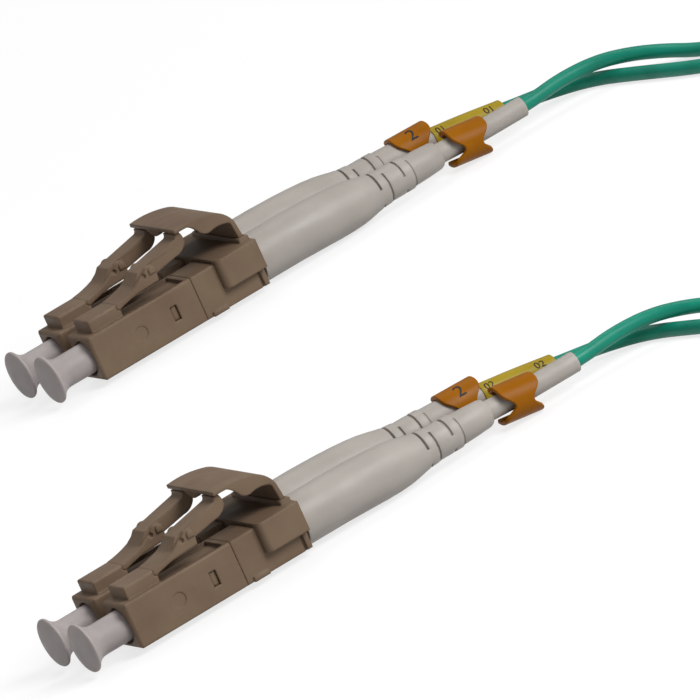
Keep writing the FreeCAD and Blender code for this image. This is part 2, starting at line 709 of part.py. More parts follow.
def print_coil_gap(edges):
    """Least gap of the coil to itself, measured between points a third of a turn or more apart."""
    samples, run = [], 0.0
    for edge in edges:
        for k in range(6):
            at = edge.FirstParameter + (edge.LastParameter - edge.FirstParameter) * k / 6
            samples.append((run + edge.Length * k / 6, edge.valueAt(at)))
        run += edge.Length
    apart = 2 * math.pi * (COIL_RADIUS - COIL_PITCH * COIL_TURNS_IN) / 3
    least = min((p - q).Length for s, p in samples for t, q in samples if t - s > apart)
    print(f"cord_coil: least gap to itself {least - 2 * TRUNK_RADIUS:.2f}")


def cord_tie():
    """Strap round the coil's bundle on its +Y side."""
    inner = COIL_RADIUS - COIL_PITCH * (COIL_TURNS_IN - 0.25) - TRUNK_RADIUS - TIE_SIDE_ROOM
    outer = COIL_RADIUS + COIL_PITCH * (COIL_TURNS_OUT - COIL_TURNS_IN - 0.25) + TRUNK_RADIUS + TIE_ROOM
    top = TIE_WALL + COIL_PITCH + 2 * (TRUNK_RADIUS + TIE_ROOM)
    strap = box(-TIE_WIDTH / 2, TIE_WIDTH / 2, inner - TIE_WALL, outer + TIE_WALL, 0, top + TIE_WALL)
    strap = rounded(strap, 2 * TIE_WALL, lambda b: runs_along_x(b, TIE_WIDTH / 2))
    hole = box(-TIE_WIDTH, TIE_WIDTH, inner, outer, TIE_WALL, top)
    return strap.cut(rounded(hole, TIE_WALL, lambda b: runs_along_x(b, TIE_WIDTH / 2)))


def splitter():
    """Moulded piece where two legs meet one trunk: wide at the legs, narrow at the trunk."""
    corner = SPLITTER_HEIGHT * 0.3
    wires = []
    for x, width, height in ((0, SPLITTER_WIDTH, SPLITTER_HEIGHT),
                             (SPLITTER_LENGTH * 0.45, SPLITTER_WIDTH, SPLITTER_HEIGHT),
                             (SPLITTER_LENGTH, 2.6 * TRUNK_RADIUS, 2.6 * TRUNK_RADIUS)):
        y, z = width / 2, height / 2
        wires.append(Part.makePolygon([
            point(x, -y + corner, -z), point(x, y - corner, -z), point(x, y, -z + corner),
            point(x, y, z - corner), point(x, y - corner, z), point(x, -y + corner, z),
            point(x, -y, z - corner), point(x, -y, -z + corner), point(x, -y + corner, -z)]))
    return Part.makeLoft(wires, True, True)


END_MIDDLE_X = (CAP_FRONT + SLEEVE_END) / 2
END_PLACES = {
    "a": (ENDS_APART_X / 2 - END_MIDDLE_X, ENDS_APART_Y / 2),
    "b": (-ENDS_APART_X / 2 - END_MIDDLE_X, -ENDS_APART_Y / 2),
}
COIL_CENTRE = (END_PLACES["a"][0] + COIL_CENTRE_FROM_A[0], END_PLACES["a"][1] + COIL_CENTRE_FROM_A[1])

# Routes seen from an end: distance beyond the guide tubes' ends, y and height of the axis over the table
ROUTES_A = {
    "leg_a1": [(4.6, -3.1, 2.65), (8.4, -3.8, 2.6), (11.25, -5.5, 2.1), (13.7, -7.95, 1.35),
               (15.35, -11.2, 0.7), (17.85, -18.3, 0.7), (20.3, -25.55, 0.75)],
    "leg_a2": [(4.3, 0.85, 1.1), (8.35, -1.7, 0.7), (10.25, -7.7, 0.7), (12.55, -16.1, 0.7),
               (16.25, -24.8, 0.75)],
}
ROUTES_B = {
    "leg_b1": [(4.6, -3.1, 2.65), (8.4, -3.8, 2.6), (11.25, -5.5, 2.1), (13.7, -7.95, 1.35),
               (15.35, -11.2, 0.7), (17.85, -18.3, 0.7), (21.65, -24.9, 0.75)],
    "leg_b2": [(4.3, 0.85, 1.1), (8.35, -1.7, 0.7), (10.25, -7.7, 0.7), (12.55, -16.1, 0.7),
               (16.65, -23.7, 0.75)],
}
SPLITTER_A = (SLEEVE_END + 21.8, -39.7, -79.0)
SPLITTER_B = (SLEEVE_END + 31.8, -35.0, -36.0)
TRUNK_A_ENTRY = [(-4.5, 18.0), (0.0, 8.0)]
TRUNK_B_EXIT = [(0.0, -7.0), (-0.5, -15.0)]
TRUNK_B_ROUND = [(21.5, -26.0, 1.4), (13.5, -33.5, 1.1), (3.5, -37.5, 1.1)]
TRUNK_LEAD_A = 8.0
TRUNK_LEAD_B = 7.0
LEGS_APART = 1.6
LEG_LEAD = 5.0


def placed(shape, end, y=0.0):
    """Copy of a piece in its place in one of the two ends."""
    moved = shape.copy()
    x0, y0 = END_PLACES[end]
    moved.translate(point(x0, y0 + y, AXIS_HEIGHT))
    return moved


def leg_points(end, plug, middle_points, splitter_place):
    """Centre line of a leg on the table: from its seat in the guide tube to its splitter."""
    x0, y0 = END_PLACES[end]
    side = -1 if plug == 1 else 1
    out, along = sleeve_end(plug)
    out = out + point(0, side * PITCH / 2, AXIS_HEIGHT)
    points = [tuple(out + along * reach) for reach in (-LEG_SEAT_DEPTH, LEG_SEAT_LEAD)]
    points += [(SLEEVE_END + x, y, z) for x, y, z in middle_points]
    front_x, front_y, heading = splitter_place
    way = math.radians(heading)
    across = -side * LEGS_APART / 2
    foot_x = front_x - across * math.sin(way)
    foot_y = front_y + across * math.cos(way)
    height = SPLITTER_HEIGHT / 2
    points.append((foot_x - LEG_LEAD * math.cos(way), foot_y - LEG_LEAD * math.sin(way), height))
    points.append((foot_x, foot_y, height))
    return [(x0 + x, y0 + y, z) for x, y, z in points]


def splitter_end(end, splitter_place):
    """Middle of a splitter's trunk face on the table, and its heading in radians."""
    x0, y0 = END_PLACES[end]
    front_x, front_y, heading = splitter_place
    way = math.radians(heading)
    return (x0 + front_x + SPLITTER_LENGTH * math.cos(way),
            y0 + front_y + SPLITTER_LENGTH * math.sin(way), way)


def trunk_a_points():
    """Centre line of the trunk from the first splitter to the coil."""
    x, y, way = splitter_end("a", SPLITTER_A)
    cx, cy = COIL_CENTRE
    entry_x, entry_y = cx + COIL_RADIUS, cy + 2 * TRUNK_RADIUS
    height = SPLITTER_HEIGHT / 2
    low = coil_point(0)[0].z
    (far_x, far_y), (near_x, near_y) = TRUNK_A_ENTRY
    return [(x, y, height), (x + TRUNK_LEAD_A * math.cos(way), y + TRUNK_LEAD_A * math.sin(way), height),
            (entry_x + far_x, entry_y + far_y, (height + low) / 2),
            (entry_x + near_x, entry_y + near_y, low), (entry_x, entry_y, low)]


def trunk_b_points():
    """Centre line of the trunk from the coil round its outside to the second splitter."""
    x, y, way = splitter_end("b", SPLITTER_B)
    cx, cy = COIL_CENTRE
    last, _ = coil_point(COIL_TURNS_IN + 0.5 + COIL_TURNS_OUT)
    exit_x, exit_y = last.x, -2 * TRUNK_RADIUS
    height = SPLITTER_HEIGHT / 2
    (first_x, first_y), (next_x, next_y) = TRUNK_B_EXIT
    middle = [(exit_x, exit_y, last.z), (exit_x + first_x, exit_y + first_y, last.z),
              (exit_x + next_x, exit_y + next_y, (last.z + height) / 2)] + TRUNK_B_ROUND
    return ([(cx + px, cy + py, pz) for px, py, pz in middle]
            + [(x + TRUNK_LEAD_B * math.cos(way), y + TRUNK_LEAD_B * math.sin(way), height),
               (x, y, height)])


def save(name, shape):
    """Write one piece as a STEP file."""
    if not shape.isValid():
        print("not valid:", name)
    shape.exportStep(f"parts/{name}.step")


def save_ends():
    """Write the pieces of both ends."""
    plug_pieces = {
        "housing": housing(), "latch": latch(), "rear_body": rear_body(), "ferrule": ferrule(),
        "ferrule_flange": ferrule_flange(), "ferrule_spring": ferrule_spring(),
        "crimp_sleeve": crimp_sleeve(), "boot": boot(), "dust_cap": dust_cap(),
    }
    by_plug = {plug: {"leg_sleeve": leg_sleeve(plug), "marker_clip": marker_clip(plug)} for plug in (1, 2)}
    shared = {"duplex_clip": duplex_clip(), "trigger": trigger()}
    label = wrap_label()
    for end in END_PLACES:
        for plug, y in ((1, -PITCH / 2), (2, PITCH / 2)):
            for name, shape in {**plug_pieces, **by_plug[plug]}.items():
                save(f"{name}_{end}{plug}", placed(shape, end, y))
        for name, shape in shared.items():
            save(f"{name}_{end}", placed(shape, end))
        save(f"wrap_label_{end}", placed(label, end, PITCH / 2))


def save_cord():
    """Write the legs, the splitters, the trunks, the coil and its tie."""
    for end, routes, place in (("a", ROUTES_A, SPLITTER_A), ("b", ROUTES_B, SPLITTER_B)):
        for name, middle_points in routes.items():
            route = leg_points(end, int(name[-1]), middle_points, place)
            save(name, cord_tube(name, route, LEG_RADIUS))
        front_x, front_y, heading = place
        piece = splitter()
        piece.rotate(point(0, 0, 0), point(0, 0, 1), heading)
        piece.translate(point(END_PLACES[end][0] + front_x, END_PLACES[end][1] + front_y,
                              SPLITTER_HEIGHT / 2))
        save(f"splitter_{end}", piece)
    save("trunk_a", cord_tube("trunk_a", trunk_a_points(), TRUNK_RADIUS))
    save("trunk_b", cord_tube("trunk_b", trunk_b_points(), TRUNK_RADIUS))
    for name, piece in (("cord_coil", coil()), ("cord_tie", cord_tie())):
        piece.translate(point(*COIL_CENTRE, 0))
        save(name, piece)


def main():
    """Build every piece and write it."""
    os.makedirs("parts", exist_ok=True)
    save_ends()
    save_cord()


if __name__ == "__main__":
    main()
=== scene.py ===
"""Duplex fibre patch cord with two snap-in connectors at each end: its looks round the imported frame.

Everything is in metres in the frame's own axes: +X runs from the plugs towards the cord, +Z is up
and the table lies at z = 0. Sizes in the classes are written in millimetres and scaled once, apart
from the studio's, which are in metres.
"""

import logging
import math
from dataclasses import dataclass, field
from enum import Enum

import bmesh
import bpy
from mathutils import Matrix, Vector


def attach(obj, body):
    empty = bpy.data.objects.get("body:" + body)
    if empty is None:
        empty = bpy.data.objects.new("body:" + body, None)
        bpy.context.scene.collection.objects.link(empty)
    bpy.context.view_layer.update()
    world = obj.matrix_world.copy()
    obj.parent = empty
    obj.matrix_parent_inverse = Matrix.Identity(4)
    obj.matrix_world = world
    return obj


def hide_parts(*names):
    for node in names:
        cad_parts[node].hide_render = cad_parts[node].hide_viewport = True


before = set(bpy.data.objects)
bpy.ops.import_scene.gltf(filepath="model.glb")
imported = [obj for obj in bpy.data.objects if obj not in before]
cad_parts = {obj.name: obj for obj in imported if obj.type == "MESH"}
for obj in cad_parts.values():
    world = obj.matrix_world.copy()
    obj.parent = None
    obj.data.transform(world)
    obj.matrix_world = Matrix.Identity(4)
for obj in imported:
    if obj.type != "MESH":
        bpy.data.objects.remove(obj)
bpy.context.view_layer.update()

LOG = logging.getLogger("patch_cord")
MM = 0.001
TWO_PI = 2 * math.pi
SAME_PLACE = 1e-5
WHITE = (1.0, 1.0, 1.0, 1.0)
NEAR = 1
FAR = 2
MIDDLE_ROW = (NEAR + FAR) / 2
Point = tuple[float, float, float]
Outline = list[tuple[float, float]]
Shape = bmesh.types.BMesh


class Slot(Enum):
    """The record's material slots."""

    HOUSING = "connector_beige"
    BOOT = "boot_white"
    CAP = "cap_white"
    CERAMIC = "ceramic"
    PLATED = "plated_metal"
    SPRING = "spring_steel"
    MARKER = "marker_orange"
    LABEL = "label_yellow"
    JACKET = "jacket_aqua"
    SPLITTER = "splitter_grey"
    TIE = "tie_black"


@dataclass(frozen=True)
class Plug:
    """One of the four plugs, by its end and its row."""

    end: str
    row: int

    def __str__(self) -> str:
        """Give its letter and number, as the node names have them."""
        return f"{self.end}{self.row}"


ENDS = {end: (Plug(end, NEAR), Plug(end, FAR)) for end in "ab"}
PLUGS = [plug for pair in ENDS.values() for plug in pair]


def linear(hex_colour: str) -> tuple[float, float, float, float]:
    """Turn a screen colour into the linear values that a shader takes.

    Args:
        hex_colour: Six hexadecimal digits, red, green and blue.

    Returns:
        Linear red, green, blue and an alpha of one.
    """
    parts = [int(hex_colour[k:k + 2], 16) / 255 for k in (0, 2, 4)]
    red, green, blue = (p / 12.92 if p <= 0.04045 else ((p + 0.055) / 1.055) ** 2.4 for p in parts)
    return red, green, blue, 1.0


class Graph:
    """A new material and the few calls that fill its node tree."""

    noise_middle: tuple[float, float] = (0.3, 0.7)

    def __init__(self, name: str) -> None:
        """Start a material with its shader.

        Args:
            name: The material's name.
        """
        self.material = bpy.data.materials.new(name)
        self.material.use_nodes = True
        self.tree = self.material.node_tree
        self.shader = self.tree.nodes["Principled BSDF"]

    def node(self, kind: str, inputs: dict, **settings: object) -> bpy.types.Node:
        """Add a node.

        Args:
            kind: Type name of the node.
            inputs: Values or sockets for its inputs, by name or number.
            settings: Properties of the node itself.

        Returns:
            The new node.
        """
        made = self.tree.nodes.new(kind)
        for key, value in settings.items():
            setattr(made, key, value)
        for key, value in inputs.items():
            self.feed(made.inputs[key], value)
        return made

    def feed(self, socket: bpy.types.NodeSocket, value: object) -> None:
        """Link a socket to another one, or set its value.

        Args:
            socket: The input.
            value: Another node's output, or a plain value.
        """
        if isinstance(value, bpy.types.NodeSocket):
            self.tree.links.new(value, socket)
        else:
            socket.default_value = value

    def noise(self, scale: float, detail: float, stretch: Point = (1, 1, 1)) -> bpy.types.NodeSocket:
        """Noise on Object coordinates.

        Args:
            scale: Features per metre.
            detail: Octaves of the noise.
            stretch: Scale along each axis, for grain that runs one way.

        Returns:
            The noise's value socket.
        """
        place = self.node("ShaderNodeTexCoord", {}).outputs["Object"]
        mapped = self.node("ShaderNodeMapping", {"Vector": place, "Scale": stretch})
        return self.node("ShaderNodeTexNoise", {
            "Vector": mapped.outputs[0], "Scale": scale, "Detail": detail}).outputs[0]

    def spread(self, value: bpy.types.NodeSocket, low: float, high: float) -> bpy.types.NodeSocket:
        """Map the noise's middle range to low and high."""
        least, most = self.noise_middle
        return self.node("ShaderNodeMapRange", {
            "Value": value, "From Min": least, "From Max": most, "To Min": low, "To Max": high}).outputs[0]

    def blend(self, share: object, first: object, second: object) -> bpy.types.NodeSocket:
        """Mix two colours by a share."""
        return self.node("ShaderNodeMix", {0: share, 6: first, 7: second}, data_type="RGBA").outputs[2]

    def bump(self, height: bpy.types.NodeSocket, depth: float,
             below: bpy.types.NodeSocket | None = None) -> bpy.types.NodeSocket:
        """Bump of a real depth.

        Args:
            height: The pattern.
            depth: Its depth in millimetres.
            below: Normal that it lies on, the plain surface if left out.

        Returns:
            The bumped normal.
        """
        inputs = {"Height": height, "Strength": 1.0, "Distance": depth * MM}
        if below is not None:
            inputs["Normal"] = below
        return self.node("ShaderNodeBump", inputs).outputs[0]


@dataclass(frozen=True)
class MouldedPlastic:
    """Moulded plastic: two near colours in soft clouds, fine spark-eroded grain and flow ripples.

    Grain, clouds and ripples count features per metre. Edge is the radius that the light sees on
    every corner, and glow is the share of light that passes through the surface.
    """

    name: str
    colour: str
    shade: str
    roughness: float
    grain: float
    grain_depth: float = 0.004
    glow: float = 0.0
    edge: float = 0.0
    gloss: float = 0.5
    clouds: float = 260.0
    ripples: float = 700.0
    ripple_stretch: Point = (0.4, 1.0, 1.0)
    ripple_to_grain: float = 3.0
    roughness_range: tuple[float, float] = (-0.06, 0.08)
    glow_reach: Point = (1.2, 1.0, 0.9)
    edge_samples: int = 6

    def material(self) -> bpy.types.Material:
        """Build the material.

        Returns:
            The material.
        """
        graph = Graph(self.name)
        inputs = graph.shader.inputs
        clouds = graph.spread(graph.noise(self.clouds, detail=4.0), 0.0, 1.0)
        graph.feed(inputs["Base Color"], graph.blend(clouds, linear(self.colour), linear(self.shade)))
        ripples = graph.noise(self.ripples, detail=2.0, stretch=self.ripple_stretch)
        least, most = (self.roughness + step for step in self.roughness_range)
        graph.feed(inputs["Roughness"], graph.spread(ripples, least, most))
        normal = None
        if self.edge:
            radius = {"Radius": self.edge * MM}
            normal = graph.node("ShaderNodeBevel", radius, samples=self.edge_samples).outputs[0]
        normal = graph.bump(ripples, self.grain_depth * self.ripple_to_grain, normal)
        normal = graph.bump(graph.noise(self.grain, detail=2.0), self.grain_depth, normal)
        graph.feed(inputs["Normal"], normal)
        inputs["Specular IOR Level"].default_value = self.gloss
        if self.glow:
            inputs["Subsurface Weight"].default_value = self.glow
            inputs["Subsurface Radius"].default_value = [reach * MM for reach in self.glow_reach]
            inputs["Subsurface Scale"].default_value = 1.0
        return graph.material


@dataclass(frozen=True)
class Metal:
    """Turned or ground metal and ceramic, with fine rings from the tool."""

    name: str
    colour: str
    roughness: float
    metallic: float = 1.0
    tarnish: str = "303030"
    tarnish_share: float = 0.35
    rings: float = 2500.0
    ring_stretch: Point = (6.0, 0.4, 0.4)
    ring_depth: float = 0.002
    ring_roughness: float = 0.12

    def material(self) -> bpy.types.Material:
        """Build the material.

        Returns:
            The material.
        """
        graph = Graph(self.name)
        inputs = graph.shader.inputs
        rings = graph.noise(self.rings, detail=2.0, stretch=self.ring_stretch)
        worn = graph.spread(rings, 0.0, self.tarnish_share)
        graph.feed(inputs["Base Color"], graph.blend(worn, linear(self.colour), linear(self.tarnish)))
        graph.feed(inputs["Normal"], graph.bump(rings, self.ring_depth))
        rough = graph.spread(rings, self.roughness, self.roughness + self.ring_roughness)
        graph.feed(inputs["Roughness"], rough)
        inputs["Metallic"].default_value = self.metallic
        return graph.material


@dataclass(frozen=True)
class Finishes:
    """Every finish of the object, built once and given out by slot."""

    looks: dict[Slot, MouldedPlastic | Metal] = field(default_factory=lambda: {
        Slot.HOUSING: MouldedPlastic("moulded_beige", "7d6955", "715c4a", 0.52, 7000.0, edge=0.3,
                                     gloss=0.28),
        Slot.BOOT: MouldedPlastic("boot_white", "b1aaa3", "a69f98", 0.5, 9000.0, glow=0.15),
        Slot.CAP: MouldedPlastic("cap_clear_white", "b1a9a7", "a39b99", 0.48, 6000.0, glow=0.3,
                                 gloss=0.22),
        Slot.MARKER: MouldedPlastic("marker_orange", "a36403", "915500", 0.4, 6000.0, gloss=0.12),
        Slot.LABEL: MouldedPlastic("label_yellow", "ad961c", "9f8716", 0.42, 8000.0, gloss=0.25),
        Slot.JACKET: MouldedPlastic("jacket_aqua", "0c9379", "0a7f68", 0.42, 9000.0, gloss=0.3),
        Slot.SPLITTER: MouldedPlastic("splitter_grey", "77777a", "6a6a6d", 0.45, 7000.0),
        Slot.TIE: MouldedPlastic("tie_black", "242424", "1a1a1a", 0.7, 5000.0, grain_depth=0.02),
        Slot.CERAMIC: Metal("ceramic_white", "e8e4dc", 0.18, metallic=0.0),
        Slot.PLATED: Metal("plated_brass", "b9b4a6", 0.28),
        Slot.SPRING: Metal("spring_steel", "a9abb0", 0.3),
    })
    made: dict[Slot, bpy.types.Material] = field(default_factory=dict)

    def build(self) -> None:
        """Build the materials of all slots."""
        for slot, look in self.looks.items():
            self.made[slot] = look.material()

    def __getitem__(self, slot: Slot) -> bpy.types.Material:
        """Give the material of a slot."""
        return self.made[slot]


@dataclass
class Layout:
    """Places of the two ends, the splitters and the coil on the table, in millimetres.

    A splitter has the place of its leg face, measured from its end's middle, and its heading in
    degrees. A tube tip is the tube's last bend and its open end, measured from the housing front.
    """

    pitch: float = 6.25
    axis_height: float = 2.9
    end_middle: float = 23.55
    ends_apart: tuple[float, float] = (39.2, 77.9)
    coil_from_a: tuple[float, float] = (61.0, -87.1)
    splitter_length: float = 10.0
    splitter_height: float = 2.8
    splitters: dict[str, Point] = field(default_factory=lambda: {
        "a": (73.3, -39.7, -79.0), "b": (83.3, -35.0, -36.0)})
    tube_tips: dict[int, tuple[Point, Point]] = field(default_factory=lambda: {
        NEAR: ((45.2, 0.0, -0.62), (51.5, 0.0, -0.6)),
        FAR: ((46.8, -0.6, -0.78), (51.5, -1.5, -1.36))})

    def end(self, end: str) -> tuple[float, float]:
        """Middle of an end's housing fronts."""
        sign = 1 if end == "a" else -1
        return sign * self.ends_apart[0] / 2 - self.end_middle, sign * self.ends_apart[1] / 2

    def axis(self, plug: Plug) -> Vector:
        """Housing front on a plug's axis."""
        x, y = self.end(plug.end)
        return Vector((x, y + (plug.row - MIDDLE_ROW) * self.pitch, self.axis_height))

    def tube_end(self, plug: Plug) -> tuple[Vector, Vector]:
        """Middle of a guide tube's open end and the way it points."""
        before, last = (Vector(p) for p in self.tube_tips[plug.row])
        return self.axis(plug) + last, (last - before).normalized()

    def tube_reach(self, row: int) -> float:
        """Distance from the housing front to a guide tube's open end."""
        return self.tube_tips[row][-1][0]

    def coil_centre(self) -> tuple[float, float]:
        """Middle of the put-away coil."""
        x, y = self.end("a")
        return x + self.coil_from_a[0], y + self.coil_from_a[1]

    def splitter(self, end: str, past: float) -> tuple[float, float, float]:
        """Point on a splitter's middle line.

        Args:
            end: The splitter's end of the cord.
            past: How far it is from the leg face towards the trunk.

        Returns:
            Its x and y, and the line's heading in radians.
        """
        x, y = self.end(end)
        front_x, front_y, heading = self.splitters[end]
        way = math.radians(heading)
        return x + front_x + past * math.cos(way), y + front_y + past * math.sin(way), way


def smooth_by_angle(limit: float) -> bpy.types.NodeTree:
    """Geometry nodes that shade smooth, but leave steep edges sharp.

    Args:
        limit: Degrees between two faces from which their edge stays sharp.

    Returns:
        The node group.
    """
    group = bpy.data.node_groups.new("smooth_by_angle", "GeometryNodeTree")
    group.interface.new_socket("Geometry", in_out="INPUT", socket_type="NodeSocketGeometry")
    group.interface.new_socket("Geometry", in_out="OUTPUT", socket_type="NodeSocketGeometry")
    nodes, links = group.nodes, group.links
    start, end = nodes.new("NodeGroupInput"), nodes.new("NodeGroupOutput")
    angle = nodes.new("GeometryNodeInputMeshEdgeAngle")
    sharp = nodes.new("FunctionNodeCompare")
    sharp.operation = "GREATER_THAN"
    sharp.inputs[1].default_value = math.radians(limit)
    faces = nodes.new("GeometryNodeSetShadeSmooth")
    faces.domain = "FACE"
    edges = nodes.new("GeometryNodeSetShadeSmooth")
    edges.domain = "EDGE"
    edges.inputs["Shade Smooth"].default_value = False
    links.new(start.outputs[0], faces.inputs["Geometry"])
    links.new(faces.outputs[0], edges.inputs["Geometry"])
    links.new(angle.outputs[0], sharp.inputs[0])
    links.new(sharp.outputs[0], edges.inputs["Selection"])
    links.new(edges.outputs[0], end.inputs[0])
    return group


@dataclass
class EdgeSoftener:
    """Small rounding of edges and smooth shading of what is round, as modifiers."""

    bevel_from: float = 40.0
    sharp_from: float = 30.0
    flat_weight: int = 80
    group: bpy.types.NodeTree | None = None

    def apply(self, thing: bpy.types.Object, width: float, segments: int = 2) -> None:
        """Add the modifiers to a piece.

        Args:
            thing: The piece.
            width: Width of the rounding in millimetres.
            segments: Steps of the rounding.
        """
        bevel = thing.modifiers.new("edges", "BEVEL")
        bevel.width = width * MM
        bevel.segments = segments
        bevel.limit_method = "ANGLE"
        bevel.angle_limit = math.radians(self.bevel_from)
        shade = thing.modifiers.new("smooth", "NODES")
        self.group = self.group or smooth_by_angle(self.sharp_from)
        shade.node_group = self.group
        even = thing.modifiers.new("even", "WEIGHTED_NORMAL")
        even.keep_sharp = True
        even.weight = self.flat_weight


@dataclass
class Bench:
    """What every piece is made with: the layout, the finishes and the softening of edges."""

    layout: Layout
    finishes: Finishes
    softener: EdgeSoftener

    def finish(self, name: str, data: bpy.types.ID, body: str, slot: Slot,
               nodes: tuple[str, ...] = ()) -> bpy.types.Object:
        """Put a finished piece in the scene.

        Args:
            name: The piece's name.
            data: Its mesh or curve, with its place already in it.
            body: The body that it rides on.
            slot: The record's slot that it takes its finish from.
            nodes: The frame's nodes that it stands for.

        Returns:
            The new object.
        """
        piece = bpy.data.objects.new(name, data)
        bpy.context.scene.collection.objects.link(piece)
        data.materials.clear()
        data.materials.append(self.finishes[slot])
        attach(piece, body)
        if nodes:
            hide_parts(*nodes)
        LOG.info("piece %s on %s", name, body)
        return piece

    def place(self, shape: Shape, name: str, plug: Plug, body: str, slot: Slot,
              nodes: tuple[str, ...] = ()) -> bpy.types.Object:
        """Turn a shape in millimetres on its own axis into a finished piece in metres on its plug.

        Args:
            shape: The shape, which is freed.
            name: The piece's name.
            plug: The plug that it belongs to.
            body: The body that it rides on.
            slot: The record's slot that it takes its finish from.
            nodes: The frame's nodes that it stands for.

        Returns:
            The new object.
        """
        move = Matrix.Scale(MM, 4) @ Matrix.Translation(self.layout.axis(plug))
        bmesh.ops.transform(shape, matrix=move, verts=shape.verts[:])
        mesh = bpy.data.meshes.new(name)
        shape.to_mesh(mesh)
        shape.free()
        return self.finish(name, mesh, body, slot, nodes)


def line_curve(name: str, points: list[Point], radius: float) -> bpy.types.Curve:
    """Round cord along one smooth spline.

    Args:
        name: Name of the curve.
        points: Control points in millimetres.
        radius: Radius in millimetres.

    Returns:
        The curve, in metres.
    """
    curve = bpy.data.curves.new(name, "CURVE")
    curve.dimensions = "3D"
    spline = curve.splines.new("NURBS")
    spline.points.add(len(points) - 1)
    for target, (x, y, z) in zip(spline.points, points):
        target.co = (x * MM, y * MM, z * MM, 1.0)
    spline.order_u = 3
    spline.use_endpoint_u = True
    spline.resolution_u = 10
    curve.bevel_depth = radius * MM
    curve.bevel_resolution = 5
    curve.use_fill_caps = True
    return curve


@dataclass
class Legs:
    """The four aqua legs from the guide tubes to the splitters.

    The routes are measured from the tube's open end along x, from the end's middle along y and
    from the table up. Only the last bend differs between the two ends of the cord.
    """

    bench: Bench
    radius: float = 0.7
    seat_depth: float = 2.4
    lead_out: float = 1.1
    lead_in: float = 5.0
    apart: float = 1.6
    routes: dict[int, list[Point]] = field(default_factory=lambda: {
        NEAR: [(4.6, -3.1, 2.65), (8.4, -3.8, 2.6), (11.25, -5.5, 2.1), (13.7, -7.95, 1.35),
               (15.35, -11.2, 0.7), (17.85, -18.3, 0.7)],
        FAR: [(4.3, 0.85, 1.1), (8.35, -1.7, 0.7), (10.25, -7.7, 0.7), (12.55, -16.1, 0.7)]})
    last_bends: dict[str, Point] = field(default_factory=lambda: {
        "a1": (20.3, -25.55, 0.75), "a2": (16.25, -24.8, 0.75),
        "b1": (21.65, -24.9, 0.75), "b2": (16.65, -23.7, 0.75)})
    lengths: dict[str, float] = field(default_factory=lambda: {
        "a1": 50.7, "a2": 51.7, "b1": 50.7, "b2": 53.8})

    def points(self, plug: Plug) -> list[Point]:
        """Control points of one leg, from inside its guide tube to its splitter's face.

        Args:
            plug: The plug that it comes from.

        Returns:
            The points in millimetres.
        """
        layout = self.bench.layout
        out, along = layout.tube_end(plug)
        x, y = layout.end(plug.end)
        x += layout.tube_reach(plug.row)
        route = [tuple(out + along * reach) for reach in (-self.seat_depth, self.lead_out)]
        bends = [*self.routes[plug.row], self.last_bends[str(plug)]]
        route += [(x + ahead, y + aside, height) for ahead, aside, height in bends]
        across = (MIDDLE_ROW - plug.row) * self.apart
        for past in (-self.lead_in, 0.0):
            x, y, way = layout.splitter(plug.end, past)
            height = layout.splitter_height / 2
            route.append((x - across * math.sin(way), y + across * math.cos(way), height))
        return route

    def build(self) -> None:
        for plug in PLUGS:
            name = f"leg_jacket_{plug}"
            curve = line_curve(name, self.points(plug), self.radius)
            leg = self.bench.finish(name, curve, "cord_set", Slot.JACKET, (f"leg_{plug}",))
            leaving, _ = self.bench.layout.tube_end(plug)


